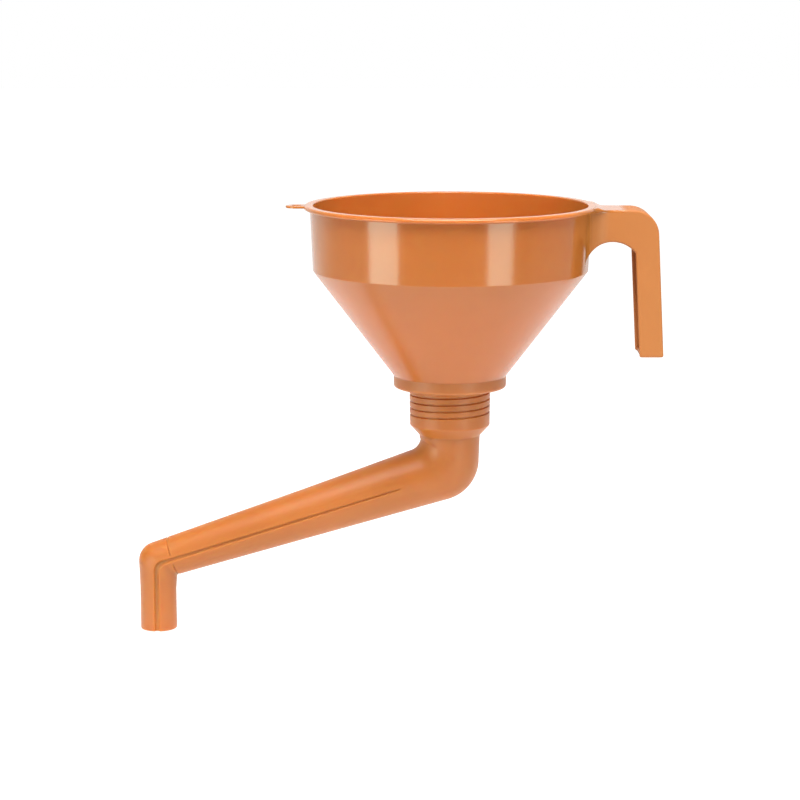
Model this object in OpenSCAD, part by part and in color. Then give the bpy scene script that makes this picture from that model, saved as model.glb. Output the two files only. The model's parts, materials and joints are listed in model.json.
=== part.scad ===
// Pouring funnel with a carrying handle and a screw-in bent spout.
// Frame: Z is the bowl's axis and points up, the origin is the middle of the rim's top face,
// the handle points along +X and the spout's arm along -X. Millimetres.

/* [Bowl] */
// Outer radius of the lip at the rim
rim_r = 80; // [78:0.5:84]
// Thickness of the lip
lip_t = 2.2; // [2:0.1:2.8]
// Rounding of the lip's upper edge
lip_round = 1.2; // [0.8:0.1:1.4]
// Outer radius of the upright wall under the lip
wall_top_r = 76.65; // [75:0.05:77]
// Outer radius where the upright wall meets the cone
wall_low_r = 75.3; // [72:0.1:75.5]
// Depth of that corner below the rim
wall_h = 35.6; // [30:0.2:40]
// Height of the cone between the upright wall and the skirt
cone_h = 58.4; // [50:0.2:64]
// Wall thickness of the bowl
wall_t = 2; // [1.6:0.1:2.4]
// Rounding of the corner between the upright wall and the cone
corner_r = 1.6; // [0.8:0.1:2.5]

/* [Outlet] */
// Outer radius of the skirt under the cone
skirt_r = 31; // [30:0.2:33]
// Height of the skirt
skirt_h = 6.6; // [6:0.2:8]
// Thickness of the skirt
skirt_t = 2; // [1.6:0.1:2.4]
// Rounding of the skirt's bottom edge
skirt_round = 1.3; // [0.6:0.1:1.5]
// Thickness of the floor that carries the strainer
floor_t = 2.2; // [1.8:0.1:2.4]
// Extra wall between the strainer's seat and the skirt's inner face
seat_wall = 0.2; // [0:0.1:0.4]
// Radius of the hole in the floor
outlet_r = 20.2; // [19:0.1:20.4]
// Thickness of the ledge that stops the spout
ledge_t = 1; // [0.8:0.1:1.2]
// Thickness of the threaded socket's wall
socket_t = 2.4; // [2:0.1:3]
// How far the socket stands out under the skirt
socket_drop = 0.8; // [0:0.1:1]

/* [Screw thread] */
// Radius of the spout's thread over its crests
thread_r = 22.4; // [22:0.1:22.6]
// Pitch of the right-hand thread
pitch = 3.7; // [3.4:0.1:4]
// Depth of the spout's thread groove
groove_d = 0.95; // [0.8:0.05:1]
// Width of the groove at the crests
groove_w = 1.25; // [1:0.05:1.4]
// Width of the groove at its bottom
groove_root_w = 0.75; // [0.6:0.05:0.9]
// Height of the socket's mating ridge above its bore
ridge_h = 0.75; // [0.6:0.05:0.8]
// Radial clearance between the spout's crests and the socket's bore
thread_gap = 0.2; // [0.15:0.05:0.3]
// Width of the socket's ridge at its tip
ridge_tip_w = 0.3; // [0.2:0.05:0.4]
// Width of the socket's ridge at its foot
ridge_foot_w = 1; // [0.8:0.05:1.1]

/* [Spout] */
// Wall thickness of the spout
spout_t = 2.2; // [2:0.1:2.4]
// Length of the threaded head and its plain collar
head_h = 25.2; // [24:0.2:28]
// Height of the chamfer under the head
chamfer_h = 5.8; // [5:0.2:7]
// Outer radius of the upright tube under the chamfer
tube_r = 16.6; // [15.5:0.1:17.5]
// Height from the spout's top end to where the axes of tube and arm cross
elbow_drop = 50.3; // [48:0.1:56]
// Slope of the arm below the horizontal
arm_slope = 17.9; // [12:0.1:22]
// Horizontal distance from the bowl's axis to the tip's axis
reach = 163; // [140:1:190]
// Outer radius of the arm where it leaves the top elbow
arm_r = 16.1; // [15:0.1:17]
// Outer radius of the arm at its parting ring
ring_r = 11; // [10.6:0.1:12]
// Distance along the arm from the parting ring to the tip's axis
ring_back = 9; // [7:0.5:12]
// Outer radius of the round tip
tip_r = 10.1; // [9:0.1:10.5]
// Length of the tip below its elbow's middle
tip_h = 38.5; // [32:0.5:48]
// Chamfer round the tip's open end
tip_chamfer = 0.6; // [0.4:0.1:0.8]
// Width of the parting ring
ring_w = 0.5; // [0.3:0.1:0.8]
// Depth of the parting ring
ring_d = 0.35; // [0.2:0.05:0.5]

/* [Air groove] */
// Depth of the air groove along the arm and the tip
vent_d = 1.1; // [0.8:0.1:1.2]
// Width of the air groove on the tip
vent_tip_w = 3; // [2:0.1:3.4]
// Width of the air groove on the arm
vent_arm_w = 1.6; // [1.2:0.1:2]
// Horizontal distance from the bowl's axis to the groove's upper end
vent_start = 27; // [24:1:60]

/* [Handle] */
// Width of the handle across its two side walls
handle_w = 28; // [24:1:32]
// Wall thickness of the handle's channel
handle_t = 2.2; // [1.8:0.1:2.6]
// Depth of the handle's top face below the rim
handle_top = 1.8; // [1:0.1:2.4]
// Distance from the bowl's axis to the handle's outer face under its corner
handle_x = 112.8; // [112:0.2:120]
// Outward lean of the grip
handle_lean = 3; // [2:0.5:4]
// Depth of the grip from its outer face to its open side
grip_d = 12.6; // [12:0.2:15]
// Depth of the handle's free end below the rim
handle_h = 82.5; // [72:0.5:90]
// Radius of the handle's outer corner
handle_r = 14; // [10:0.5:15]
// Radius of the arch over the finger gap
arch_r = 16; // [15:0.5:17]
// Depth of the arch's highest point below the rim
arch_top = 19.2; // [18:0.2:22]

/* [Hang tab] */
// Distance from the bowl's axis to the middle of the tab's hole
tab_x = 84; // [83:0.5:86]
// Radius of the tab's round end
tab_r = 6; // [5:0.5:8]
// Radius of the tab's hole
tab_hole_r = 2.5; // [2:0.25:3]
// Thickness of the tab
tab_t = 1.3; // [1:0.1:1.6]
// Depth of the tab's top face below the rim
tab_top = 0.5; // [0.3:0.1:1]

/* [Strainer and seal] */
// Outer radius of the strainer's ring
strainer_r = 28.3; // [27:0.1:28.5]
// Thickness of the strainer's ring
strainer_t = 1.4; // [1.2:0.1:2]
// Radial width of the strainer's ring
strainer_w = 2.9; // [2:0.1:4]
// Thickness of the strainer's gauze
gauze_t = 0.5; // [0.4:0.1:0.8]
// Outer radius of the sealing washer
seal_r = 21.6; // [21.4:0.1:21.6]
// Thickness of the sealing washer
seal_t = 1; // [0.8:0.1:1]
// Gap left between the washer and the socket's ledge
seal_gap = 0.9; // [0.9:0.05:1.4]

/* [Hidden] */
$fn = 96;
ARC_STEPS = 8;
THREAD_STEPS = 36;
// How far a cutter runs out past what it cuts
CUT = 1;
// How far the thread's cutter stands out past the crests
THREAD_OVER = 0.5;
// How far the socket's ridge runs into the wall that carries it
RIDGE_EMBED = 0.6;
// Length of socket left plain at its bottom end and under its ledge
RIDGE_PLAIN = 0.45;
// Height at which the middle of one groove turn crosses the front, at 270 degrees
GROOVE_FRONT_Z = -111.2;
// How far the elbows' balls stand out past the tubes that meet in them
ELBOW_PROUD = 0.3;
// Rounding of the rim's inner edge
RIM_EDGE_R = 0.6;
// Rounding of the lip's lower edge
LIP_LOW_R = 0.6;
// Rise of the bowl's inner corner over its outer corner
INNER_RISE = 0.5;
// Direction in which the arch's back end is cut off, inside the bowl's wall
ARCH_BACK = 140;
// Distance from the arch's middle to the grip's inner edge
ARCH_TO_GRIP = 12.6;
// Extra radius of the tip at its elbow, and the height over which it tapers away
TIP_FLARE = 0.5;
TIP_TAPER_H = 12;

skirt_z = -wall_h - cone_h;
skirt_low_z = skirt_z - skirt_h;
socket_r = thread_r + thread_gap;
socket_low_z = skirt_low_z - socket_drop;
cone_angle = atan((wall_low_r - skirt_r) / cone_h);
cone_inset = wall_t / cos(cone_angle);
seat_r = skirt_r - skirt_t - seat_wall;
seat_z = skirt_z + (seat_r + cone_inset - skirt_r) / tan(cone_angle);
ledge_z = seat_z - ledge_t;
socket_out_r = socket_r + socket_t;

spout_top_z = ledge_z - seal_gap - seal_t;
collar_low_z = spout_top_z - head_h;
tube_top_z = collar_low_z - chamfer_h;
elbow_z = spout_top_z - elbow_drop;
arm_len = reach / cos(arm_slope);
ring_s = arm_len - ring_back;
tip_z = elbow_z - reach * tan(arm_slope);
spout_low_z = tip_z - tip_h;
groove_turns = 1 + ceil(4 * (spout_top_z + groove_w - GROOVE_FRONT_Z) / pitch) / 4;
tip_elbow_r = tip_r + TIP_FLARE;
groove_root_r = thread_r - groove_d;
groove_over_w = groove_root_w + (groove_w - groove_root_w) * (groove_d + THREAD_OVER) / groove_d;

arch_x = handle_x - grip_d - ARCH_TO_GRIP;
arch_z = -arch_top - arch_r;

// Points on an arc in the section plane, from angle a0 to angle a1
function arc(x, z, r, a0, a1) =
    [for (i = [0:ARC_STEPS]) let (a = a0 + (a1 - a0) * i / ARC_STEPS) [x + r * cos(a), z + r * sin(a)]];

// Section of the bowl, the skirt and the socket, taken once around the axis
module bowl_section() {
    inner_top_r = wall_top_r - wall_t;
    inner_low_r = wall_low_r - wall_t;
    corner_z = -wall_h + corner_r * tan((90 - cone_angle) / 4);
    polygon(concat(
        arc(inner_top_r + RIM_EDGE_R, -RIM_EDGE_R, RIM_EDGE_R, 180, 90),
        arc(rim_r - lip_round, -lip_round, lip_round, 90, 0),
        arc(rim_r - LIP_LOW_R, LIP_LOW_R - lip_t, LIP_LOW_R, 0, -90),
        [[wall_top_r, -lip_t]],
        arc(wall_low_r - corner_r, corner_z, corner_r, 0, -cone_angle),
        [[skirt_r, skirt_z]],
        arc(skirt_r - skirt_round, skirt_low_z + skirt_round, skirt_round, 0, -90),
        [
            [skirt_r - skirt_t, skirt_low_z],
            [skirt_r - skirt_t, seat_z - floor_t],
            [socket_out_r, seat_z - floor_t],
            [socket_out_r, socket_low_z],
            [socket_r, socket_low_z],
            [socket_r, ledge_z],
            [outlet_r, ledge_z],
            [outlet_r, seat_z],
            [seat_r, seat_z],
            [inner_low_r, -wall_h + INNER_RISE]
        ]
    ));
}

// Everything inside the bowl's inner face
module bowl_inside() {
    margin = 0.3;
    rotate_extrude()
        polygon([
            [0, CUT],
            [wall_top_r - wall_t + margin, CUT],
            [wall_low_r - wall_t + margin, -wall_h + INNER_RISE],
            [0, -wall_h + INNER_RISE]
        ]);
}

// Closed sweep of a four-cornered section along the thread's helix.
// Each corner is [radius, offset along the axis], and z is the height over the front.
module helix(corners, z, start_angle, turns) {
    steps = round(turns * THREAD_STEPS);
    points = [
        for (i = [0:steps], c = corners)
            let (a = start_angle + 360 * i / THREAD_STEPS)
                [c[0] * cos(a), c[0] * sin(a), z + pitch * (a - 270) / 360 + c[1]]
    ];
    sides = [
        for (i = [0:steps - 1], k = [0:3])
            let (a = 4 * i + k, b = 4 * i + (k + 1) % 4)
                each [[a, b, b + 4], [a, b + 4, a + 4]]
    ];
    last = 4 * steps;
    caps = [[0, 3, 2], [0, 2, 1], [last, last + 1, last + 2], [last, last + 2, last + 3]];
    polyhedron(points, concat(sides, caps));
}

// Ridge inside the socket, in the same helix as the spout's groove
module socket_ridge() {
    tip = socket_r - ridge_h;
    foot = socket_r + RIDGE_EMBED;
    length = ledge_z - socket_low_z - 2 * RIDGE_PLAIN;
    turns = floor(length / pitch * THREAD_STEPS) / THREAD_STEPS;
    start_z = socket_low_z + RIDGE_PLAIN;
    start_angle = 270 + 360 * (start_z - GROOVE_FRONT_Z) / pitch;
    helix(
        [
            [tip, -ridge_tip_w / 2],
            [foot, -ridge_foot_w / 2],
            [foot, ridge_foot_w / 2],
            [tip, ridge_tip_w / 2]
        ],
        GROOVE_FRONT_Z, start_angle, turns
    );
}

// Outline of the handle seen from the side; inset shrinks its outer edge
module handle_outline(inset, low_z) {
    corner_x = handle_x - handle_r;
    corner_z = -handle_top - handle_r;
    out_r = handle_r - inset;
    lean_x = (corner_z - low_z) * tan(handle_lean);
    edge_x = corner_x + out_r;
    grip_x = handle_x - grip_d;
    arch_end = acos((grip_x - arch_x) / arch_r);
    arch_end_z = arch_z + arch_r * sin(arch_end);
    polygon(concat(
        [[wall_low_r - wall_t, -handle_top - inset]],
        arc(corner_x, corner_z, out_r, 90, -handle_lean),
        [
            [edge_x + lean_x, low_z],
            [grip_x + (arch_end_z - low_z) * tan(handle_lean), low_z]
        ],
        arc(arch_x, arch_z, arch_r, arch_end, ARCH_BACK),
        [[wall_low_r - wall_t, arch_z + arch_r * sin(ARCH_BACK)]]
    ));
}

// U-shaped channel, open towards the bowl
module handle() {
    difference() {
        rotate([90, 0, 0])
            linear_extrude(handle_w, center = true)
                handle_outline(0, -handle_h);
        rotate([90, 0, 0])
            linear_extrude(handle_w - 2 * handle_t, center = true)
                union() {
                    handle_outline(handle_t, -handle_h + handle_t);
                    channel_mouth();
                }
        bowl_inside();
    }
}

// Opens the channel through the arch and the grip's inner edge
module channel_mouth() {
    grip_x = handle_x - grip_d;
    low_z = -handle_h + handle_t;
    polygon([
        [wall_low_r - wall_t, arch_z + arch_r * sin(ARCH_BACK) + CUT],
        [wall_low_r - wall_t, low_z],
        [grip_x + CUT + (arch_z - low_z) * tan(handle_lean), low_z],
        [grip_x + CUT, arch_z]
    ]);
}

module hang_tab() {
    translate([0, 0, -tab_top - tab_t])
        linear_extrude(tab_t)
            difference() {
                union() {
                    translate([-tab_x, 0])
                        circle(tab_r);
                    translate([-tab_x, -tab_r])
                        square([tab_x - wall_top_r + 1, 2 * tab_r]);
                }
                translate([-tab_x, 0])
                    circle(tab_hole_r);
            }
}

module funnel_body() {
    color("darkorange") {
        rotate_extrude()
            bowl_section();
        socket_ridge();
        handle();
        hang_tab();
    }
}

module strainer_rim() {
    color("goldenrod")
        translate([0, 0, seat_z])
            difference() {
                cylinder(h = strainer_t, r = strainer_r);
                translate([0, 0, -CUT])
                    cylinder(h = strainer_t + 2 * CUT, r = strainer_r - strainer_w);
            }
}

module strainer_mesh() {
    color("gold")
        translate([0, 0, seat_z + (strainer_t - gauze_t) / 2])
            cylinder(h = gauze_t, r = strainer_r - strainer_w);
}

module seal_ring() {
    color("dimgray")
        translate([0, 0, spout_top_z])
            difference() {
                cylinder(h = seal_t, r = seal_r);
                translate([0, 0, -CUT])
                    cylinder(h = seal_t + 2 * CUT, r = thread_r - spout_t);
            }
}

// Places its children at the top elbow with +Z along the arm
module along_arm() {
    translate([0, 0, elbow_z])
        rotate([0, -90 - arm_slope, 0])
            children();
}

// Radius of the arm at a distance s from the top elbow, up to its parting ring
function arm_r_at(s) = arm_r + (ring_r - arm_r) * s / ring_s;

// Section from the spout's top end down to the middle of the top elbow
module upright_section(inset, past) {
    polygon([
        [0, spout_top_z + past],
        [thread_r - inset, spout_top_z + past],
        [thread_r - inset, collar_low_z],
        [tube_r - inset, tube_top_z],
        [arm_r - inset, elbow_z],
        [0, elbow_z]
    ]);
}

// Section of the arm between the middles of the two elbows
module arm_section(inset) {
    polygon([
        [0, 0],
        [arm_r - inset, 0],
        [ring_r - inset, ring_s],
        [tip_elbow_r - inset, arm_len],
        [0, arm_len]
    ]);
}

// Section of the tip below the middle of its elbow
module tip_section(inset, past, chamfer) {
    polygon([
        [0, 0],
        [tip_elbow_r - inset, 0],
        [tip_r - inset, -TIP_TAPER_H],
        [tip_r - inset, chamfer - tip_h],
        [tip_r - inset - chamfer, -tip_h - past],
        [0, -tip_h - past]
    ]);
}

// The whole bent tube, drawn in by inset, with its two open ends run out by past
module bent_tube(inset, past, chamfer) {
    rotate_extrude()
        upright_section(inset, past);
    translate([0, 0, elbow_z])
        sphere(arm_r + ELBOW_PROUD - inset);
    along_arm()
        rotate_extrude()
            arm_section(inset);
    translate([-reach, 0, tip_z]) {
        sphere(tip_elbow_r + ELBOW_PROUD - inset);
        rotate_extrude()
            tip_section(inset, past, chamfer);
    }
}

// Slot of the air groove on the side facing -Y; each point is [radius of the floor, place along Z]
module groove_slot(floor_points, width) {
    far = arm_r + CUT;
    first = floor_points[0];
    last = floor_points[len(floor_points) - 1];
    rotate([90, 0, 90])
        linear_extrude(width, center = true)
            polygon(concat(
                [[-far, first[1]]],
                [for (p = floor_points) [-p[0], p[1]]],
                [[-far, last[1]]]
            ));
}

// Air groove from the arm down to the tip's open end
module air_groove() {
    start_s = vent_start / cos(arm_slope);
    along_arm()
        groove_slot(
            [
                [arm_r_at(start_s) - vent_d, start_s],
                [ring_r - vent_d, ring_s],
                [tip_elbow_r - vent_d, arm_len + CUT]
            ],
            vent_arm_w
        );
    translate([-reach, 0, tip_z])
        groove_slot([[tip_r - vent_d, CUT], [tip_r - vent_d, -tip_h - CUT]], vent_tip_w);
}

// Fine ring where the arm's mould halves end
module parting_ring() {
    along_arm()
        translate([0, 0, ring_s])
            difference() {
                cylinder(h = ring_w, r = ring_r + CUT);
                translate([0, 0, -CUT])
                    cylinder(h = 2 * CUT + ring_w, r = ring_r - ring_d);
            }
}

// Helical groove of the spout's thread, from one turn under its front mark up past the top end
module thread_groove() {
    over_r = thread_r + THREAD_OVER;
    helix(
        [
            [groove_root_r, -groove_root_w / 2],
            [over_r, -groove_over_w / 2],
            [over_r, groove_over_w / 2],
            [groove_root_r, groove_root_w / 2]
        ],
        GROOVE_FRONT_Z, 270 - 360, groove_turns
    );
}

module spout() {
    color("darkorange")
        difference() {
            bent_tube(0, 0, tip_chamfer);
            bent_tube(spout_t, CUT, 0);
            air_groove();
            parting_ring();
            thread_groove();
        }
}

funnel_body();
strainer_rim();
strainer_mesh();
seal_ring();
spout();
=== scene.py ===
"""Looks for a pouring funnel with a screw-in bent spout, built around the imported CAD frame.

Everything is in the CAD's own frame: Z up along the bowl's axis, the handle along +X, the spout's
arm along -X, the origin in the middle of the rim's top. Shapes are worked out in millimetres and
written to the meshes in metres.
"""
import json
import math

import bpy
import numpy as np
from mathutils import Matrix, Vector


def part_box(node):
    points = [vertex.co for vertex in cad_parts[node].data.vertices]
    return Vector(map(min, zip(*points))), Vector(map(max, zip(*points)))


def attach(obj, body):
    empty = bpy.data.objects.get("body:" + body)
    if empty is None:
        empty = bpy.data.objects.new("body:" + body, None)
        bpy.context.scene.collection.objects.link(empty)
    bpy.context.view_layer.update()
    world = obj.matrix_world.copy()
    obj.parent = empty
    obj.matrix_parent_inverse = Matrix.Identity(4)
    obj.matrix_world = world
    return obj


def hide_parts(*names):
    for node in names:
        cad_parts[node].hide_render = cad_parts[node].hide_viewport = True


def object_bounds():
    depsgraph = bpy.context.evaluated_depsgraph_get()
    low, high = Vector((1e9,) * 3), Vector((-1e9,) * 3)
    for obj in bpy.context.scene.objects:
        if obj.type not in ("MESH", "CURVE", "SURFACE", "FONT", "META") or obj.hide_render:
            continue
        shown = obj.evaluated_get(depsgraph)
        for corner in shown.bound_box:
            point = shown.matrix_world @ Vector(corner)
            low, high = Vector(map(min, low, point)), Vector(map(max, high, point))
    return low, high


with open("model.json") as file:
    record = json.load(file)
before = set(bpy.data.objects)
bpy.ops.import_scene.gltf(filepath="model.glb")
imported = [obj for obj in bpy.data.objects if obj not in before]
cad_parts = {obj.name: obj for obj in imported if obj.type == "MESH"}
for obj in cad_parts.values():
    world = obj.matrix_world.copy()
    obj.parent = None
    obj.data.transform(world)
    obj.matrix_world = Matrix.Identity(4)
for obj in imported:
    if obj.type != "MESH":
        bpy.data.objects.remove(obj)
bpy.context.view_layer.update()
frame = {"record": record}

MM = 0.001
record = frame["record"]
mounts = {m["name"]: m for m in record["mounts"]}
coupling = record["behaviour"]["couplings"][0]


def node_box(node):
    """Lowest and highest corner of a CAD node, in millimetres."""
    low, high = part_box(node)
    return low / MM, high / MM


# Driving places, read from the frame -------------------------------------------------------------
funnel_low, funnel_high = node_box("funnel_body")
spout_low, spout_high = node_box("spout")
ring_low, ring_high = node_box("strainer_rim")
gauze_low, gauze_high = node_box("strainer_mesh")
washer_low, washer_high = node_box("seal_ring")

PITCH = coupling["ratio"] * 2 * math.pi / MM
TIP_R = mounts["spout_tip"]["dims"]["r_mm"]
TIP_X = mounts["spout_tip"]["pos_m"][0] / MM
HANG_X = mounts["hang_hole"]["pos_m"][0] / MM
HANG_R = mounts["hang_hole"]["dims"]["r_mm"]

# Sizes in millimetres, as in the CAD -------------------------------------------------------------
# Bowl
RIM_R = funnel_high.y
WALL = 2.0
LIP_T = 2.2
WALL_TOP_R = 76.65
WALL_LOW_R = 75.3
BREAK_Z = -35.6
SKIRT_Z = -94.0
SKIRT_R = 31.0
SKIRT_IN_R = SKIRT_R - WALL
SKIRT_LOW_Z = -100.6
SEAT_Z = ring_low.z
WEB_LOW_Z = SEAT_Z - 2.2
SEAT_R = 28.8
LEDGE_Z = SEAT_Z - 1.0
OUTLET_R = 20.2
SOCKET_R = 22.6
SOCKET_OUT_R = 25.0
SOCKET_LOW_Z = funnel_low.z

# Spout
HEAD_R = spout_high.y
HEAD_TOP_Z = spout_high.z
COLLAR_LOW_Z = HEAD_TOP_Z - 25.2
TUBE_TOP_Z = COLLAR_LOW_Z - 5.8
AXIS_CROSS_Z = HEAD_TOP_Z - 50.3
ARM_SLOPE = math.radians(17.9)
TURN = math.pi / 2 - ARM_SLOPE
SPOUT_WALL = 2.2
THREAD_FRONT_Z = -111.2
THREAD_END_Z = -117.2
THREAD_DEPTH = 0.95
THREAD_HALF_W = 0.42
FRONT_TURN = 0.75
FRONT_ANGLE = FRONT_TURN * 2 * math.pi

# Handle
HANDLE_TOP_Z = -1.8
HANDLE_HALF_W = 14.0
HANDLE_WALL = 2.2
HANDLE_LEAN = math.tan(math.radians(3.0))
CORNER_R = 14.0
CORNER_X = 98.8
GRIP_X = 100.2
ARCH_X = 87.6
ARCH_Z = -35.2
ARCH_R = 16.0
ROOT_FILLET_R = 14.0
HANDLE_LOW_Z = -82.5
HANDLE_EDGE_R = 0.9
HANDLE_ROOT_TOP_Z = -0.2
FAN_X = 92.0
FAN_OUTER_END_Z = -24.0
FAN_INNER_END_Z = -32.0
GRIP_CAP_H = 4.0

# Hang tab
TAB_HALF_W = 6.0
TAB_TOP_Z = -0.5
TAB_LOW_Z = -1.8


# Mesh helpers ------------------------------------------------------------------------------------
def mesh_object(name, points, faces, crease_degrees=38.0):
    """A smooth-shaded mesh object from points in millimetres."""
    mesh = bpy.data.meshes.new(name)
    mesh.from_pydata([tuple(p) for p in np.asarray(points, float) * MM], [], faces)
    mesh.validate()
    mesh.update()
    for polygon in mesh.polygons:
        polygon.use_smooth = True
    mesh.set_sharp_from_angle(angle=math.radians(crease_degrees))
    piece = bpy.data.objects.new(name, mesh)
    bpy.context.scene.collection.objects.link(piece)
    return piece


def loft_faces(rows, columns, loop_rows, start):
    """Quads between neighbouring rings of points, whose first point has the index start."""
    faces = []
    for i in range(rows if loop_rows else rows - 1):
        for j in range(columns):
            a = i * columns
            b = (i + 1) % rows * columns
            k = (j + 1) % columns
            faces.append((start + a + j, start + a + k, start + b + k, start + b + j))
    return faces


class Shell:
    """Collects closed surfaces that make up one moulded piece."""

    def __init__(self):
        self.points = []
        self.faces = []

    def loft(self, rings, loop_rows=False, flip=False):
        """Add a skin over rings of points, which runs back to the first ring or has two caps."""
        rings = np.asarray(rings, float)
        rows, columns = rings.shape[:2]
        start = len(self.points)
        faces = loft_faces(rows, columns, loop_rows, start)
        if not loop_rows:
            faces.append(tuple(range(start + columns - 1, start - 1, -1)))
            last = start + (rows - 1) * columns
            faces.append(tuple(range(last, last + columns)))
        if flip:
            faces = [f[::-1] for f in faces]
        self.points.extend(rings.reshape(-1, 3))
        self.faces.extend(faces)

    def build(self, name, crease_degrees=38.0):
        return mesh_object(name, self.points, self.faces, crease_degrees)


def rounded(corners, closed=False, step_degrees=12.0, support=0.25):
    """A polyline through (x, z, radius) corners, with each corner turned into an arc.

    Where there is room, a point stands at the distance support before and after each arc.
    """
    count = len(corners)
    out = []
    for i, (x, z, radius) in enumerate(corners):
        here = np.array([x, z], float)
        if radius <= 0 or (not closed and i in (0, count - 1)):
            out.append(here)
            continue
        before = np.array(corners[i - 1][:2], float) - here
        after = np.array(corners[(i + 1) % count][:2], float) - here
        len_a, len_b = np.linalg.norm(before), np.linalg.norm(after)
        before, after = before / len_a, after / len_b
        half = math.acos(max(-1.0, min(1.0, float(before @ after)))) / 2
        reach = radius / math.tan(half)
        bisector = (before + after) / np.linalg.norm(before + after)
        centre = here + bisector * radius / math.sin(half)
        a, b = here + before * reach, here + after * reach
        if support and reach + support < len_a * 0.45:
            out.append(here + before * (reach + support))
        start = math.atan2(*(a - centre)[::-1])
        sweep = (math.atan2(*(b - centre)[::-1]) - start + math.pi) % (2 * math.pi) - math.pi
        steps = max(2, round(abs(math.degrees(sweep)) / step_degrees))
        for k in range(steps + 1):
            angle = start + sweep * k / steps
            out.append(centre + radius * np.array([math.cos(angle), math.sin(angle)]))
        if support and reach + support < len_b * 0.45:
            out.append(here + after * (reach + support))
    return np.array(out)


def refined(line, longest, closed=False):
    """The same polyline with no segment longer than longest."""
    ends = np.vstack([line, line[:1]]) if closed else line
    out = []
    for a, b in zip(ends[:-1], ends[1:]):
        steps = max(1, math.ceil(np.linalg.norm(b - a) / longest))
        out.extend(a + (b - a) * k / steps for k in range(steps))
    if not closed:
        out.append(ends[-1])
    return np.array(out)


def revolved(profile, segments):
    """Rings of a closed (radius, z) profile turned about the Z axis, one ring for each point."""
    angles = np.arange(segments) * 2 * math.pi / segments
    circle = np.stack([np.cos(angles), np.sin(angles)], axis=1)
    return [np.column_stack([circle * r, np.full(segments, z)]) for r, z in profile]


def smooth_step(value, low, high):
    """0 below low, 1 above high, and a soft S between them."""
    t = np.clip((value - low) / (high - low), 0.0, 1.0)
    return t * t * (3 - 2 * t)


# Funnel body -------------------------------------------------------------------------------------
def cone_r(z, inset=0.0):
    """Outer radius of the cone at a height, less a wall measured square to it."""
    slope = (WALL_LOW_R - SKIRT_R) / (BREAK_Z - SKIRT_Z)
    return WALL_LOW_R + slope * (z - BREAK_Z) - inset * math.hypot(1.0, slope)


def bowl_profile():
    """Closed section of lip, wall, cone, skirt, web, socket, ledge and seat.

    Each corner is its radius, its height and how far it is rounded.
    """
    seat_corner_r = cone_r(SEAT_Z, WALL)
    corners = [
        (WALL_TOP_R - WALL + 0.4, 0.0, 0.7),
        (RIM_R, 0.0, 1.3),
        (RIM_R, -LIP_T, 0.6),
        (WALL_TOP_R + 0.1, -LIP_T - 0.1, 0.7),
        (WALL_LOW_R, BREAK_Z, 0.9),
        (SKIRT_R, SKIRT_Z, 0.7),
        (SKIRT_R, SKIRT_LOW_Z, 1.5),
        (SKIRT_IN_R, SKIRT_LOW_Z, 0.4),
        (SKIRT_IN_R, WEB_LOW_Z, 0.8),
        (SOCKET_OUT_R, WEB_LOW_Z, 0.8),
        (SOCKET_OUT_R, SOCKET_LOW_Z, 0.4),
        (SOCKET_R, SOCKET_LOW_Z, 0.3),
        (SOCKET_R, LEDGE_Z, 0.3),
        (OUTLET_R, LEDGE_Z, 0.2),
        (OUTLET_R, SEAT_Z, 0.3),
        (min(SEAT_R, seat_corner_r), SEAT_Z, 0.3),
        (cone_r(BREAK_Z, WALL) + 0.6, BREAK_Z + 0.4, 1.6),
    ]
    return refined(rounded(corners, closed=True), longest=6.0, closed=True)


def wall_r(z):
    """Outer radius of the bowl's wall and lip at a height above the break."""
    lip_step = 0.3
    heights = [BREAK_Z, -LIP_T - lip_step, -LIP_T + lip_step]
    return float(np.interp(z, heights, [WALL_LOW_R, WALL_TOP_R, RIM_R]))


def helix_rib(shell, section, start_z, turns, steps_per_turn, fade_steps):
    """A ridge along the thread's helix that gets lower and narrower at its ends."""
    end_height, end_width = 0.25, 0.4
    steps = round(turns * steps_per_turn)
    root = max(r for r, _ in section)
    rings = []
    for i in range(steps + 1):
        fade = min(1.0, i / fade_steps, (steps - i) / fade_steps)
        height = end_height + (1 - end_height) * fade
        width = end_width + (1 - end_width) * fade
        z = start_z + PITCH * i / steps_per_turn
        angle = FRONT_ANGLE + 2 * math.pi * (z - THREAD_FRONT_Z) / PITCH
        ring = []
        for r, dz in section:
            r_here = root + (r - root) * height
            ring.append((r_here * math.cos(angle), r_here * math.sin(angle), z + dz * width))
        rings.append(ring)
    shell.loft(rings)


def socket_thread(shell):
    """The socket's thread: a ridge that runs in the groove of the spout's head."""
    crest_r, root_r = SOCKET_R - 0.75, SOCKET_R + 0.6
    section = [(crest_r, -0.15), (crest_r, 0.15), (root_r, 0.5), (root_r, -0.5)]
    start_z, end_z = SOCKET_LOW_Z + 0.6, LEDGE_Z - 0.7
    turns = (end_z - start_z) / PITCH
    helix_rib(shell, section, start_z, turns, steps_per_turn=96, fade_steps=10)


def flare(x, radius):
    """How far the handle's side stands out near the bowl, where a fillet joins it to the wall."""
    centre_y = HANDLE_HALF_W + ROOT_FILLET_R
    centre_x = math.sqrt((radius + ROOT_FILLET_R) ** 2 - centre_y ** 2)
    tangent_x = centre_x * radius / (radius + ROOT_FILLET_R)
    x = min(max(x, tangent_x), centre_x)
    return ROOT_FILLET_R - math.sqrt(max(0.0, ROOT_FILLET_R ** 2 - (centre_x - x) ** 2))


def arch_point(angle_degrees):
    """A point of the arch under the handle, by its angle from +X."""
    a = math.radians(angle_degrees)
    return np.array([ARCH_X + ARCH_R * math.cos(a), ARCH_Z + ARCH_R * math.sin(a)])


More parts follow.
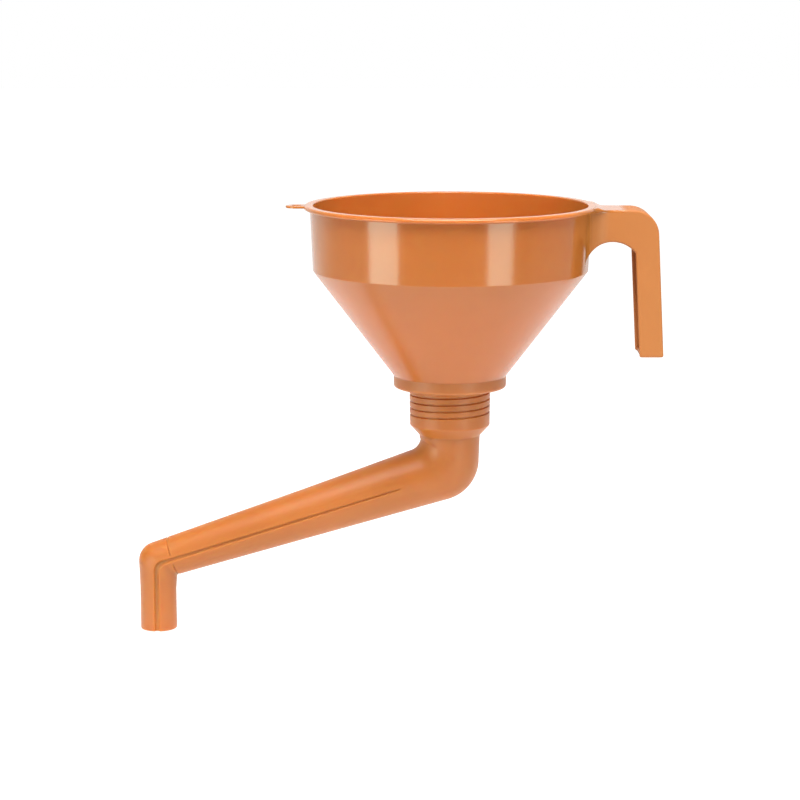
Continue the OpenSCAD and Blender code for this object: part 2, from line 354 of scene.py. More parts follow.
def along(line, fraction):
    """The point at a fraction of a polyline's length."""
    lengths = np.concatenate([[0.0], np.cumsum(np.linalg.norm(np.diff(line, axis=0), axis=1))])
    at = fraction * lengths[-1]
    return np.array([np.interp(at, lengths, line[:, 0]), np.interp(at, lengths, line[:, 1])])


def arch_top_z(x):
    """Height of the arch at a place along X."""
    return ARCH_Z + math.sqrt(max(0.0, ARCH_R ** 2 - (x - ARCH_X) ** 2))


def channel_section(depth, floor, inset):
    """Closed U of (y, depth) points: outer face, both side walls and the channel's inside.

    Each stretch has a fixed number of points, so that sections can be joined.
    """
    half = HANDLE_HALF_W - inset
    inner = HANDLE_HALF_W - HANDLE_WALL
    edge_r = HANDLE_EDGE_R
    end_r = 1.05
    support = 0.3
    depth = depth - inset
    fillet = max(0.05, min(1.5, (depth - end_r - floor) * 0.5))
    quarter = np.radians(np.linspace(0, 90, 7))
    # Outer face, up to the rounded edge
    line = [(y, inset) for y in (0.0, 5.0, 9.0, half - edge_r - support)]
    for a in quarter:
        y = half - edge_r + edge_r * math.sin(a)
        line.append((y, inset + edge_r - edge_r * math.cos(a)))
    # Outside of the side wall, with more points near the outer face
    low, high = inset + edge_r + support, depth - end_r - support
    for f in (0.0, 0.06, 0.14, 0.25, 0.4, 0.55, 0.7, 0.85, 1.0):
        line.append((half, low + (high - low) * f))
    # Rounded end of the side wall
    for a in quarter:
        line.append((half - end_r + end_r * math.cos(a), depth - end_r + end_r * math.sin(a)))
    for a in quarter:
        line.append((inner + end_r - end_r * math.sin(a), depth - end_r + end_r * math.cos(a)))
    # Inside of the side wall, fillet and floor of the channel
    low, high = floor + fillet, depth - end_r - support
    for f in (1.0, 0.75, 0.5, 0.25, 0.0):
        line.append((inner, low + (high - low) * f))
    for a in quarter[1:]:
        y = inner - fillet + fillet * math.cos(a)
        line.append((y, floor + fillet - fillet * math.sin(a)))
    line += [(y, floor) for y in (inner - fillet - support, 5.0, 0.0)]
    line = np.array(line)
    mirrored = line[::-1][1:-1] * [-1, 1]
    return np.vstack([line, mirrored])


ARCH_END = math.degrees(math.acos((GRIP_X - ARCH_X) / ARCH_R))
KNEE_Z = arch_point(ARCH_END)[1]


def grip_outer(z):
    """A point of the grip's outer outline, which leans outwards below the handle's corner."""
    return np.array([CORNER_X + CORNER_R + (HANDLE_TOP_Z - CORNER_R - z) * HANDLE_LEAN, z])


def grip_inner(z):
    """A point of the grip's inner outline, which leans outwards below the arch."""
    return np.array([GRIP_X + (KNEE_Z - z) * HANDLE_LEAN, z])


def handle_stations():
    """Matched outer and inner outline points, from over the arch to the grip's free end."""
    corner_arc = [
        (CORNER_X + CORNER_R * math.sin(a), HANDLE_TOP_Z - CORNER_R + CORNER_R * math.cos(a))
        for a in np.radians(np.linspace(0, 90, 13))
    ]
    fan_outer = np.vstack([(FAN_X, HANDLE_TOP_Z), *corner_arc, grip_outer(FAN_OUTER_END_Z)])
    fan_angle = math.degrees(math.acos((FAN_X - ARCH_X) / ARCH_R))
    arch = [arch_point(a) for a in np.linspace(fan_angle, ARCH_END, 7)]
    fan_inner = np.vstack([*arch, grip_inner(FAN_INNER_END_Z)])
    inner_lag = 1.1
    stations = []
    for f in np.linspace(0.0, 1.0, 34):
        stations.append((along(fan_outer, f), along(fan_inner, f ** inner_lag)))
    cap_z = HANDLE_LOW_Z + GRIP_CAP_H
    for f in np.linspace(0.0, 1.0, 16)[1:]:
        outer_z = FAN_OUTER_END_Z + (cap_z - FAN_OUTER_END_Z) * f
        inner_z = FAN_INNER_END_Z + (cap_z - FAN_INNER_END_Z) * f
        stations.append((grip_outer(outer_z), grip_inner(inner_z)))
    return stations


def section_z(v, reference_depth, low_z, x):
    """Height of a section point where the handle's depth differs from the reference depth.

    The top face rises towards the bowl, so that it runs into the lip without a step.
    """
    depth = HANDLE_TOP_Z - low_z
    near_top = 3.0
    near_low = 1.2
    if v <= near_top:
        rise = HANDLE_ROOT_TOP_Z - HANDLE_TOP_Z
        at_lip = 1 - smooth_step(x, RIM_R - 1.5, RIM_R + 3.5)
        return HANDLE_TOP_Z - v + rise * at_lip * (1 - v / near_top)
    if v >= reference_depth - near_low:
        return low_z + (reference_depth - v)
    f = (v - near_top) / (reference_depth - near_low - near_top)
    return HANDLE_TOP_Z - near_top - f * (depth - near_top - near_low)


def root_ring(reference_depth, ease):
    """The handle's section between the bowl's wall, at ease 0, and the fan, at ease 1.

    Its sides stand out in a fillet near the wall. A point's height and its place along X depend
    on each other, so they are found in a few passes.
    """
    sink = 1.0
    flare_start, flare_width = 6.0, 5.8
    ring = []
    for y, v in channel_section(reference_depth, HANDLE_WALL, 0.0):
        widen = min(1.0, max(0.0, (abs(y) - flare_start) / flare_width))
        z = HANDLE_TOP_Z - v
        for _ in range(6):
            radius = wall_r(z)
            y_full = abs(y) + flare(0.0, radius) * widen
            root_x = math.sqrt(max(1.0, (radius - sink) ** 2 - y_full ** 2))
            x = root_x + (FAN_X - root_x) * ease
            z = section_z(v, reference_depth, arch_top_z(x), x)
        y_here = abs(y) + flare(x, wall_r(z)) * widen
        ring.append((x, math.copysign(y_here, y), z))
    return ring


def grip_ring(outer, inner, closing=0.0, inset=0.0):
    """The handle's section between two outline points; closing lifts the channel's floor."""
    end_rim = 1.1
    depth = np.linalg.norm(inner - outer)
    floor = HANDLE_WALL + (depth - end_rim - HANDLE_WALL) * closing
    run = (inner - outer) / depth
    section = channel_section(depth, floor, inset)
    return np.array([(outer[0] + run[0] * v, y, outer[1] + run[1] * v) for y, v in section])


def handle(shell):
    """U-shaped handle: a sweep from the bowl's wall over the arch and down the grip."""
    root_steps = 20
    root_crowding = 1.6
    reference_depth = HANDLE_TOP_Z - arch_top_z(FAN_X)
    rings = [
        root_ring(reference_depth, (k / root_steps) ** root_crowding)
        for k in range(root_steps)
    ]
    rings += [grip_ring(outer, inner) for outer, inner in handle_stations()]
    # Closed end: the channel's floor comes up to the open side, then the outer edge rounds off.
    # Each step is the height above the end, the closing and the inset.
    end_steps = [
        (3.4, 0.0, 0.0), (2.6, 0.35, 0.0), (2.2, 1.0, 0.0), (1.2, 1.0, 0.0),
        (0.7, 1.0, 0.06), (0.35, 1.0, 0.26), (0.1, 1.0, 0.6), (0.0, 1.0, 1.0),
    ]
    for up, closing, inset in end_steps:
        z = HANDLE_LOW_Z + up
        rings.append(grip_ring(grip_outer(z), grip_inner(z), closing, inset))
    shell.loft(rings)


def hang_tab(shell):
    """Flat round-ended tab with its hole, let into the lip."""
    segments = 72
    angles = np.arange(segments) * 2 * math.pi / segments
    joint_x = -RIM_R + 2.4

    def outline(inset):
        """A circle round the hole that goes on towards the bowl as a straight-sided strip."""
        points = []
        for a in angles:
            c, s = math.cos(a), math.sin(a)
            r = TAB_HALF_W - inset
            if c > 0:
                r = min(r / max(abs(s), 1e-6), (joint_x - HANG_X) / c)
            points.append((HANG_X + r * c, r * s))
        return points

    def hole(grow):
        r = HANG_R + grow
        return [(HANG_X + r * math.cos(a), r * math.sin(a)) for a in angles]

    # Steps (inwards, along Z) of the rounded outer edge and of the hole's edge
    e = 0.45
    outer_edge = [(e, 0.0), (e * 0.4, e * 0.13), (e * 0.1, e * 0.45), (0.0, e)]
    hole_edge = [(e, 0.0), (e * 0.3, e * 0.3), (0.0, e)]
    rings = [[(x, y, TAB_TOP_Z - dz) for x, y in outline(d)] for d, dz in outer_edge]
    rings += [[(x, y, TAB_LOW_Z + dz) for x, y in outline(d)] for d, dz in outer_edge[::-1]]
    rings += [[(x, y, TAB_LOW_Z + dz) for x, y in hole(d)] for d, dz in hole_edge]
    rings += [[(x, y, TAB_TOP_Z - dz) for x, y in hole(d)] for d, dz in hole_edge[::-1]]
    shell.loft(rings, loop_rows=True, flip=True)


def make_funnel():
    """The whole funnel body: bowl, socket thread, handle and hang tab."""
    shell = Shell()
    shell.loft(revolved(bowl_profile(), 240), loop_rows=True)
    socket_thread(shell)
    handle(shell)
    hang_tab(shell)
    return shell.build("funnel_shell", crease_degrees=28)


# Spout -------------------------------------------------------------------------------------------
ARM_DIR = np.array([-math.cos(ARM_SLOPE), -math.sin(ARM_SLOPE)])
ARM_UP = np.array([-math.sin(ARM_SLOPE), math.cos(ARM_SLOPE)])
ARM_LEN = -TIP_X / math.cos(ARM_SLOPE)
RING_S = ARM_LEN - 9.0
TIP_Z = AXIS_CROSS_Z + TIP_X * math.tan(ARM_SLOPE)
CROSS = np.array([0.0, AXIS_CROSS_Z])
TIP_CORNER = np.array([TIP_X, TIP_Z])
OUTER_BEND_R = 23.2
INNER_FILLET_R = 8.0
TUBE_R = 16.6
ARM_START_R = 16.15
ARM_END_R = 10.9
TIP_ELBOW_R = 10.6
TIP_FILLET_R = 2.0
ARM_JOIN_S = 80.0
PARTING_DEPTH = 0.5
VENT_START_X = -27.0

# Columns of the spout's mesh: across the air groove, in half widths of it, and round the rest
VENT_COLUMNS = np.array([
    -1.8, -1.3, -1.08, -0.98, -0.88, -0.68, -0.5, -0.1,
    0.25, 0.45, 0.7, 0.88, 1.05, 1.3, 1.8,
])
OTHER_COLUMNS = np.linspace(0.0, 1.0, 150)[1:-1]


def arm_r(s):
    """The arm's outer radius at a distance along its axis from the crossing with the head's."""
    places = [0.0, RING_S, RING_S + 4.0, ARM_LEN]
    return float(np.interp(s, places, [ARM_START_R, ARM_END_R, 10.7, TIP_ELBOW_R]))


def arc_points(centre, radius, start, end, steps):
    """Points on an arc from one angle to another."""
    return [
        centre + radius * np.array([math.cos(a), math.sin(a)])
        for a in np.linspace(start, end, steps)
    ]


def arc_centre(x, above_arm):
    """The point at a place along X that lies at a distance above the arm's axis."""
    return np.array([x, CROSS[1] + (above_arm + x * math.sin(ARM_SLOPE)) / math.cos(ARM_SLOPE)])


# The spout's outlines are lists of pairs: a point on the near outline, which runs down the side
# that faces the arm, over the arm and down the tip's far side, its match on the outline opposite,
# and the half width across. The inset is 0 for the outside and the wall for the inside.
def blend(first, last, fractions):
    """Pairs on the straight way from one pair to another."""
    return [tuple(a + (b - a) * f for a, b in zip(first, last)) for f in fractions]


def elbow_pairs(near_arc, far_arc, start, end, steps, half):
    """Pairs round a bend, whose arcs are given as (centre, radius)."""
    near = arc_points(*near_arc, start, end, steps)
    far = arc_points(*far_arc, start, end, steps)
    return [(a, b, half) for a, b in zip(near, far)]


def turned_pairs(axis_x, profile):
    """Pairs of an upright turned part, from its (radius, z) profile."""
    return [(np.array([axis_x - r, z]), np.array([axis_x + r, z]), r) for r, z in profile]


def head_pairs(inset):
    """Head, collar and chamfer."""
    head_r = HEAD_R - inset
    if inset:
        corners = [(head_r + 0.3, HEAD_TOP_Z, 0), (head_r, HEAD_TOP_Z - 0.3, 0)]
    else:
        corners = [(head_r - 1.0, HEAD_TOP_Z, 0), (head_r, HEAD_TOP_Z, 0.5)]
    corners += [
        (HEAD_R - 0.35 - inset, COLLAR_LOW_Z, 1.0),
        (TUBE_R + 0.15 - inset, TUBE_TOP_Z, 1.2),
        (TUBE_R - inset, TUBE_TOP_Z - 2.0, 0),
    ]
    # The thread is cut into the outside, so that needs close rows
    longest = 4.0 if inset else 0.14
    return turned_pairs(0.0, refined(rounded(corners, support=0.3), longest))


def top_elbow_pairs(inset):
    """The top elbow: both arcs touch the upright tube's side and the arm's side."""
    side = ARM_START_R - inset
    outer_r = OUTER_BEND_R - inset
    inner_r = INNER_FILLET_R + inset
    near_arc = (arc_centre(-side - inner_r, side + inner_r), inner_r)
    far_arc = (arc_centre(side - outer_r, outer_r - side), outer_r)
    return elbow_pairs(near_arc, far_arc, 0.0, -TURN, 25, side)


def arm_pairs(elbow_end, inset):
    """The arm, from the top elbow's last pair to the parting ring."""
    near, far, side = elbow_end
    s_near = float((near - CROSS) @ ARM_DIR)
    s_far = float((far - CROSS) @ ARM_DIR)
    join_r = arm_r(ARM_JOIN_S) - inset
    pairs = []
    for f in np.linspace(0.0, 1.0, 64)[1:]:
        reach_near = s_near + (ARM_JOIN_S - s_near) * f
        reach_far = s_far + (ARM_JOIN_S - s_far) * f
        half = side + (join_r - side) * f
        a = CROSS + ARM_DIR * reach_near + ARM_UP * half
        b = CROSS + ARM_DIR * reach_far - ARM_UP * half
        pairs.append((a, b, half))
    ring_zone = [RING_S]
    if inset == 0:
        ring_zone = [RING_S + d for d in np.arange(-1.2, 1.21, 0.1)]
    for s in [*np.linspace(ARM_JOIN_S, ring_zone[0], 34)[1:-1], *ring_zone]:
        half = arm_r(s) - inset
        middle = CROSS + ARM_DIR * s
        pairs.append((middle + ARM_UP * half, middle - ARM_UP * half, half))
    return pairs


def tip_elbow_pairs(inset):
    """The tip elbow: a wide arc about the corner of the axes and a small fillet under it."""
    out_r = TIP_ELBOW_R - inset
    in_r = TIP_FILLET_R + inset
    fillet_centre = arc_centre(TIP_X + out_r + in_r, -(out_r + in_r))
    start = math.atan2(ARM_UP[1], ARM_UP[0])
    return elbow_pairs((TIP_CORNER, out_r), (fillet_centre, in_r), start, math.pi, 21, out_r)


def tip_pairs(elbow_end, inset):
    """The tip, from the tip elbow's last pair to the open end."""
    end_z = spout_low.z
    taper_z = TIP_Z - 14.0
    tip_r = TIP_R - inset
    straight = (
        np.array([TIP_X - tip_r, taper_z]),
        np.array([TIP_X + tip_r, taper_z - 2.0]),
        tip_r,
    )
    corners = [(tip_r, taper_z - 4.0, 0)]
    if inset:
        corners += [(tip_r, end_z + 0.3, 0), (tip_r + 0.3, end_z, 0)]
    else:
        corners += [(tip_r, end_z + 1.2, 0.8), (tip_r - 0.1, end_z, 0.4), (tip_r - 1.3, end_z, 0)]
    taper = blend(elbow_end, straight, np.linspace(0.0, 1.0, 9)[1:])
    return taper + turned_pairs(TIP_X, refined(rounded(corners, support=0.3), 2.0))


def spout_pairs(inset):
    """All pairs of the spout, from the head's top to the tip's end."""
    head = head_pairs(inset)
    top_elbow = top_elbow_pairs(inset)
    upright = blend(head[-1], top_elbow[0], np.linspace(0.0, 1.0, 13)[1:-1])
    arm = arm_pairs(top_elbow[-1], inset)
    tip_elbow = tip_elbow_pairs(inset)
    arm_end = blend(arm[-1], tip_elbow[0], np.linspace(0.0, 1.0, 8)[1:-1])
    tip = tip_pairs(tip_elbow[-1], inset)
    return head + upright + top_elbow + arm + arm_end + tip_elbow + tip


def thread_dip(angle, z):
    """Depth of the helical thread groove at an angle and a height on the head."""
    turn = (angle / (2 * math.pi) - FRONT_TURN) % 1.0
    nearest = round((z - THREAD_FRONT_Z) / PITCH - turn)
    if THREAD_FRONT_Z + PITCH * (nearest + turn) < THREAD_END_Z + 1.0:
        nearest += 1
    centre_z = THREAD_FRONT_Z + PITCH * (nearest + turn)
    run_out = float(smooth_step(centre_z, THREAD_END_Z + 0.6, THREAD_END_Z + 1.2))
    away = abs(z - centre_z)
    flank = float(1 - smooth_step(away, THREAD_HALF_W - 0.12, THREAD_HALF_W + 0.22))
    return THREAD_DEPTH * run_out * flank


def vent_width(x):
    """Width of the air groove where its middle is at a place along X."""
    places = [-VENT_START_X, 60.0, 140.0, 158.0, -TIP_X]
    return float(np.interp(-x, places, [1.3, 1.5, 2.1, 2.8, 3.4]))


def vent_depth(x):
    """Depth of the air groove at a place along X; it fades in where it starts."""
    depth = float(np.interp(-x, [-VENT_START_X, 150.0, -TIP_X], [0.8, 0.95, 1.25]))
    return depth * float(smooth_step(VENT_START_X - x, 0.0, 1.6))


def vent_section(across):
    """Share of the groove's depth across its width: a steep wall, a flat floor, a sloping wall."""
    places = [-1.05, -0.95, -0.6, 0.3, 0.85, 1.05]
    return float(np.interp(across, places, [0.0, 0.12, 1.0, 0.95, 0.12, 0.0]))


def ring_points(pair, detailed):
    """The points round the spout at a pair; detailed ones carry the thread and the air groove."""
    near, far, half = pair
    centre = (near + far) / 2
    across = (far - near) / 2
    unit = vent_width(centre[0]) / 2 / max(half, 1.0)
    vent_angles = FRONT_ANGLE + VENT_COLUMNS * unit
    rest = 2 * math.pi - 2 * VENT_COLUMNS[-1] * unit
    on_head = abs(centre[0]) < 1e-6 and centre[1] > THREAD_END_Z - 4.0
    points = []
    for k, angle in enumerate([*vent_angles, *(vent_angles[-1] + OTHER_COLUMNS * rest)]):
        dip = 0.0
        if detailed and on_head:
            dip += thread_dip(angle, centre[1])
        if detailed and k < len(VENT_COLUMNS):
            dip += vent_depth(centre[0]) * vent_section(VENT_COLUMNS[k])
        scale = 1.0 - dip / max(half, 1.0)
        x, z = centre + across * (math.cos(angle) * scale)
        points.append((x, half * math.sin(angle) * scale, z))
    return np.array(points)


def pressed_in(points, pair):
    """The same points, pressed in where they lie on the parting ring, except in the air groove."""
    near, far, _ = pair
    away = abs(float((near - CROSS) @ ARM_DIR) - RING_S)
    if away >= 1.0 or near[1] <= TIP_Z:
        return points
    dip = PARTING_DEPTH * float(1 - smooth_step(away, 0.2, 0.55))
    middle = (near + far) / 2
    centre = np.array([middle[0], 0.0, middle[1]])
    share = np.full((len(points), 1), dip / ARM_END_R)
    share[:len(VENT_COLUMNS)] = 0.0
    return centre + (points - centre) * (1 - share)


def make_spout():
    """The bent tube, as one skin that runs down its outside and back up its inside."""
    outside = [pressed_in(ring_points(pair, True), pair) for pair in spout_pairs(0.0)]
    inside = [ring_points(pair, False) for pair in spout_pairs(SPOUT_WALL)]
    shell = Shell()
    shell.loft(outside + inside[::-1], loop_rows=True)
    return shell.build("spout_tube")


# Strainer and washer -----------------------------------------------------------------------------
def make_strainer_ring():
    """Ring with a U section that is open inwards and grips the gauze."""
    outer_r = ring_high.x
    inner_r = outer_r - 2.9
    groove_r = inner_r + 0.9
    low, high = ring_low.z, ring_high.z
    corners = [
        (outer_r, high, 0.5),
        (outer_r, low, 0.5),
        (inner_r, low, 0.4),
        (inner_r, low + 0.35, 0.1),
        (groove_r, low + 0.45, 0.1),
        (groove_r, high - 0.45, 0.1),
        (inner_r, high - 0.35, 0.1),
        (inner_r, high, 0.4),
    ]
    profile = rounded(corners, closed=True, step_degrees=22, support=0)
    shell = Shell()
    shell.loft(revolved(profile, 180), loop_rows=True)
    return shell.build("strainer_ring")


def make_gauze():
    """Woven wires: each passes over and under the wires that cross it."""
    reach = ring_high.x - 2.5
    middle_z = (gauze_low.z + gauze_high.z) / 2
    wire_r = 0.11
    spacing = 1.0
    lift = (gauze_high.z - gauze_low.z) / 2 - wire_r
    wires = int(reach / spacing)
    sides = 6
    shell = Shell()
    for crosswise in (False, True):
        for index in range(-wires, wires + 1):
            offset = index * spacing
            half = math.sqrt(max(0.0, reach ** 2 - offset ** 2))
            if half < spacing:
                continue
            first_side = (-1 if crosswise else 1) * (-1) ** index
            steps = max(4, int(half * 2 / (spacing / 3)))
            rings = []
            for t in np.linspace(-half, half, steps):
                z = middle_z + first_side * lift * math.cos(math.pi * t / spacing)
                ring = []
                for k in range(sides):
                    a = 2 * math.pi * k / sides
                    side, up = offset + wire_r * math.cos(a), z + wire_r * math.sin(a)
                    ring.append((side, t, up) if crosswise else (t, side, up))
                rings.append(ring)
            shell.loft(rings, flip=crosswise)
    return shell.build("strainer_gauze", crease_degrees=80)


def make_washer():
    """Flat rubber ring with rounded edges, as wide inside as the spout's mouth."""
    outer_r, inner_r = washer_high.x, HEAD_R - SPOUT_WALL
    low, high = washer_low.z, washer_high.z
    edge_r = 0.3
    corners = [
        (r, z, edge_r)
        for r, z in ((outer_r, high), (outer_r, low), (inner_r, low), (inner_r, high))
    ]
    profile = rounded(corners, closed=True, step_degrees=18, support=0.1)
    shell = Shell()
    shell.loft(revolved(profile, 160), loop_rows=True)
    return shell.build("seal_washer")


# Materials ---------------------------------------------------------------------------------------
class Nodes:
    """Short names for building a node material."""

    def __init__(self, name):
        self.material = bpy.data.materials.new(name)
        self.material.use_nodes = True
        self.tree = self.material.node_tree
        self.shader = self.tree.nodes["Principled BSDF"]
        self.place = self.tree.nodes.new("ShaderNodeTexCoord").outputs["Object"]

    def link(self, output, socket):
        self.tree.links.new(output, socket)

    def axis(self, letter):
        """One coordinate of the point that is being shaded."""
        split = self.tree.nodes.new("ShaderNodeSeparateXYZ")
        self.link(self.place, split.inputs[0])
        return split.outputs[letter]

    def math(self, operation, first, second=None):
        node = self.tree.nodes.new("ShaderNodeMath")
        node.operation = operation
        self.link(first, node.inputs[0])
        if second is not None:
            self.link(second, node.inputs[1])
        return node.outputs[0]

    def noise(self, scale, detail):
        node = self.tree.nodes.new("ShaderNodeTexNoise")
        node.inputs["Scale"].default_value = scale
        node.inputs["Detail"].default_value = detail
        node.inputs["Roughness"].default_value = 0.5
        self.link(self.place, node.inputs["Vector"])
        return node.outputs["Fac"]

    def remap(self, value, low, high, to_low, to_high):
        """The value carried over, straight and clamped, from one range to another."""
        node = self.tree.nodes.new("ShaderNodeMapRange")
        self.link(value, node.inputs["Value"])
        ends = {"From Min": low, "From Max": high, "To Min": to_low, "To Max": to_high}
        for key, number in ends.items():
            node.inputs[key].default_value = number
        return node.outputs["Result"]

    def ramp(self, value, stops):
        """A colour between the (place, colour) stops."""
        node = self.tree.nodes.new("ShaderNodeValToRGB")
        while len(node.color_ramp.elements) < len(stops):
            node.color_ramp.elements.new(0.5)
        for element, (position, color) in zip(node.color_ramp.elements, stops):
            element.position = position
            element.color = (*color, 1.0)
        self.link(value, node.inputs["Fac"])
        return node.outputs["Color"]

    def bump(self, height, strength, distance, after=None):
        """A bumped normal, laid over the normal after if there is one."""
        node = self.tree.nodes.new("ShaderNodeBump")
        node.inputs["Strength"].default_value = strength
        node.inputs["Distance"].default_value = distance
        self.link(height, node.inputs["Height"])
        if after is not None:
            self.link(after, node.inputs["Normal"])
        return node.outputs["Normal"]

    def set(self, **values):
        """Fixed shader values; an underscore stands for a space in the input's name."""
        for key, value in values.items():
            self.shader.inputs[key.replace("_", " ")].default_value = value


def orange_plastic(name, deep, pale, smooth, dull, scatter_reach, worn_places=()):
    """Orange plastic: faint mottling between two colours and two roughnesses, and a fine skin.

    Light scatters through the wall out to scatter_reach metres along X, where thick parts begin.
    Each worn place is (axis, from, to, roughness, top): the surface gets duller from one place on
    the axis to the other, but only below the height top.
    """
    worn_edge = 0.0006
    scatter_edge = 0.012
    n = Nodes(name)
    mottle = n.noise(22.0, 4.0)
    n.link(n.ramp(mottle, [(0.3, deep), (0.7, pale)]), n.shader.inputs["Base Color"])
    cloud = n.noise(160.0, 3.0)
    finish = n.remap(cloud, 0.3, 0.7, smooth, dull)
    for axis, start, end, roughness, top in worn_places:
        worn = n.remap(n.axis(axis), start, end, 0.0, roughness)
        below = n.remap(n.axis("Z"), top - worn_edge, top, 1.0, 0.0)
        finish = n.math("MAXIMUM", finish, n.math("MULTIPLY", worn, below))
    n.link(finish, n.shader.inputs["Roughness"])
    skin = n.bump(n.noise(900.0, 2.0), 0.05, 0.0002)
    waves = n.bump(n.noise(45.0, 2.0), 0.10, 0.0006, skin)
    n.link(waves, n.shader.inputs["Normal"])
    across = n.math("ABSOLUTE", n.axis("X"))
    scatter = n.remap(across, scatter_reach - scatter_edge, scatter_reach, 0.9, 0.15)
    n.link(scatter, n.shader.inputs["Subsurface Weight"])
    n.set(IOR=1.49, Subsurface_Scale=0.008)
    n.shader.inputs["Subsurface Radius"].default_value = (1.0, 0.6, 0.3)
    return n.material


def brass(name, scale):
    """Brass with darker spots, whose size goes down as the scale goes up."""
    n = Nodes(name)
    tones = [(0.3, (0.52, 0.33, 0.11)), (0.75, (0.70, 0.49, 0.19))]
    n.link(n.ramp(n.noise(scale, 4.0), tones), n.shader.inputs["Base Color"])
    n.link(n.remap(n.noise(scale * 3, 3.0), 0.3, 0.7, 0.28, 0.42), n.shader.inputs["Roughness"])
    n.link(n.bump(n.noise(scale * 5, 2.0), 0.15, 0.0001), n.shader.inputs["Normal"])
    n.set(Metallic=1.0)
    return n.material


def black_rubber():
    """Matt rubber, nearly black."""
    n = Nodes("black_rubber")
    tones = [(0.3, (0.012, 0.012, 0.013)), (0.7, (0.028, 0.028, 0.030))]
    n.link(n.ramp(n.noise(300.0, 4.0), tones), n.shader.inputs["Base Color"])
    n.link(n.remap(n.noise(500.0, 3.0), 0.3, 0.7, 0.55, 0.75), n.shader.inputs["Roughness"])
    n.link(n.bump(n.noise(1500.0, 3.0), 0.3, 0.0001), n.shader.inputs["Normal"])
    return n.material


def floor_paint():
    """Pale paint that glows faintly, less at the sides near the object and in the foreground."""
    n = Nodes("studio_floor")
    pale = [(0.3, (0.36, 0.36, 0.36)), (0.7, (0.40, 0.40, 0.40))]
    n.link(n.ramp(n.noise(2.0, 3.0), pale), n.shader.inputs["Base Color"])
    across = n.math("ABSOLUTE", n.axis("X"))
    side_glow = n.remap(across, 0.45, 1.10, 1.0, 0.50)
    far_glow = n.remap(n.axis("Y"), 0.25, 0.90, 0.0, 1.0)
    front_glow = n.remap(n.axis("Y"), -0.60, -0.32, 0.10, 0.85)
    glow = n.math("MULTIPLY", n.math("MAXIMUM", side_glow, far_glow), front_glow)
    n.link(glow, n.shader.inputs["Emission Strength"])
    n.shader.inputs["Emission Color"].default_value = (1.0, 1.0, 1.0, 1.0)
    n.set(Roughness=0.9)
    return n.material


# Stage -------------------------------------------------------------------------------------------
def make_camera():
    """The photo's view: from the front, with a long lens, ten degrees down."""
    data = bpy.data.cameras.new("camera")
    data.lens = 110.37
    data.sensor_width = 36.0
    camera = bpy.data.objects.new("camera", data)
    camera.location = (-0.02757, -1.33553, 0.12954)
    camera.rotation_euler = (math.radians(79.90), 0.0, 0.0)
    bpy.context.scene.collection.objects.link(camera)
    bpy.context.scene.camera = camera


def softbox(name, azimuth_degrees, distance, centre_z, width, height, watts, tint):
    """A soft light on a circle round the bowl's axis; azimuth 0 is towards the camera."""
    data = bpy.data.lights.new(name, "AREA")
    data.shape = "RECTANGLE"
    data.size = width
    data.size_y = height
    data.energy = watts
    data.color = tint
    lamp = bpy.data.objects.new(name, data)
    a = math.radians(azimuth_degrees)
    lamp.location = (distance * math.sin(a), -distance * math.cos(a), centre_z)
    aim = Vector((0.0, 0.0, -0.1)) - lamp.location
    lamp.rotation_euler = aim.to_track_quat("-Z", "Y").to_euler()
    bpy.context.scene.collection.objects.link(lamp)


def make_floor():
    """A wide flat floor just below the lowest point of all pieces."""
    half = 6.0
    gap = 0.0005
    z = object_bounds()[0][2] - gap
    corners = [(-half, -half, z), (half, -half, z), (half, half, z), (-half, half, z)]
    mesh = bpy.data.meshes.new("floor")
    mesh.from_pydata(corners, [], [(0, 1, 2, 3)])
    floor = bpy.data.objects.new("floor", mesh)
    bpy.context.scene.collection.objects.link(floor)
    floor.data.materials.append(floor_paint())


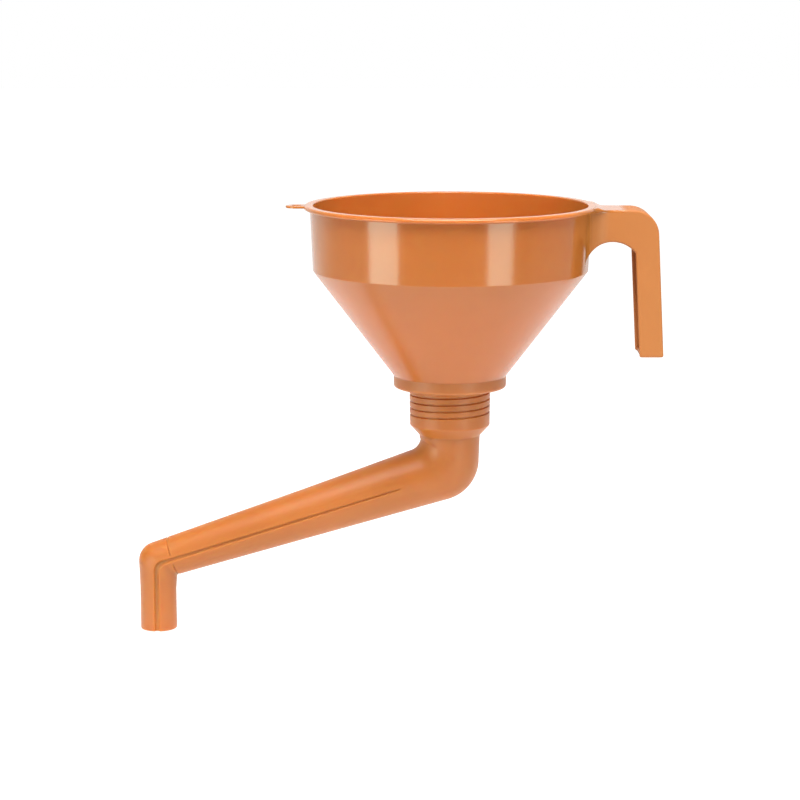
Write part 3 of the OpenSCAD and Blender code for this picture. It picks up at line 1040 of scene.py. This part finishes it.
def make_world():
    """Soft light from all round, warm grey except for white at the back."""
    world = bpy.data.worlds.new("studio")
    world.use_nodes = True
    tree = world.node_tree
    split = tree.nodes.new("ShaderNodeSeparateXYZ")
    tree.links.new(tree.nodes.new("ShaderNodeTexCoord").outputs["Generated"], split.inputs[0])
    shade = tree.nodes.new("ShaderNodeValToRGB")
    tree.links.new(split.outputs["Y"], shade.inputs[0])
    warm, white = shade.color_ramp.elements
    warm.position, warm.color = 0.55, (0.43, 0.40, 0.37, 1.0)
    white.position, white.color = 0.92, (1.0, 1.0, 1.0, 1.0)
    tree.links.new(shade.outputs["Color"], tree.nodes["Background"].inputs["Color"])
    bpy.context.scene.world = world
    bpy.context.scene.view_settings.view_transform = "Standard"


def make_lights():
    """Two narrow boxes that the bowl's wall mirrors, and a wide one overhead."""
    greenish, white = (0.78, 1.0, 0.84), (1.0, 1.0, 1.0)
    softbox("left_box", azimuth_degrees=-55, distance=0.68, centre_z=-0.13,
            width=0.31, height=0.21, watts=1.35, tint=greenish)
    softbox("right_box", azimuth_degrees=38, distance=0.68, centre_z=-0.13,
            width=0.25, height=0.21, watts=0.98, tint=greenish)
    softbox("top_box", azimuth_degrees=0, distance=0.45, centre_z=0.85,
            width=0.9, height=0.6, watts=23.0, tint=white)


# Scene -------------------------------------------------------------------------------------------
make_camera()
glossy = orange_plastic(
    "orange_plastic",
    deep=(0.37, 0.122, 0.022),
    pale=(0.41, 0.134, 0.026),
    smooth=0.13,
    dull=0.17,
    scatter_reach=0.072,
    worn_places=[
        ("Z", -0.0350, -0.0358, 0.26, 0.0),
        ("Z", -0.0935, -0.0945, 0.42, 0.0),
        ("X", 0.070, 0.078, 0.48, -0.0028),
        ("X", 0.091, 0.096, 0.55, 0.001),
    ],
)
# The spout's colours are redder and brighter than the bowl's. This is painted light that makes up
# for the shade the bowl casts on the spout.
satin_lightened = orange_plastic(
    "spout_plastic",
    deep=(0.405, 0.122, 0.016),
    pale=(0.445, 0.134, 0.020),
    smooth=0.36,
    dull=0.44,
    scatter_reach=0.40,
)
pieces = [
    (make_funnel(), "funnel", "funnel_body", "orange_plastic", glossy),
    (make_spout(), "spout", "spout", "spout_plastic", satin_lightened),
    (make_strainer_ring(), "strainer", "strainer_rim", "gauze_ring", brass("brass_strip", 60.0)),
    (make_gauze(), "strainer", "strainer_mesh", "gauze", brass("brass_gauze", 120.0)),
    (make_washer(), "seal", "seal_ring", "seal", black_rubber()),
]
for piece, body, node, slot, material in pieces:
    piece.data.materials.append(material)
    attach(piece, body)
    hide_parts(node)
make_floor()
make_world()
make_lights()
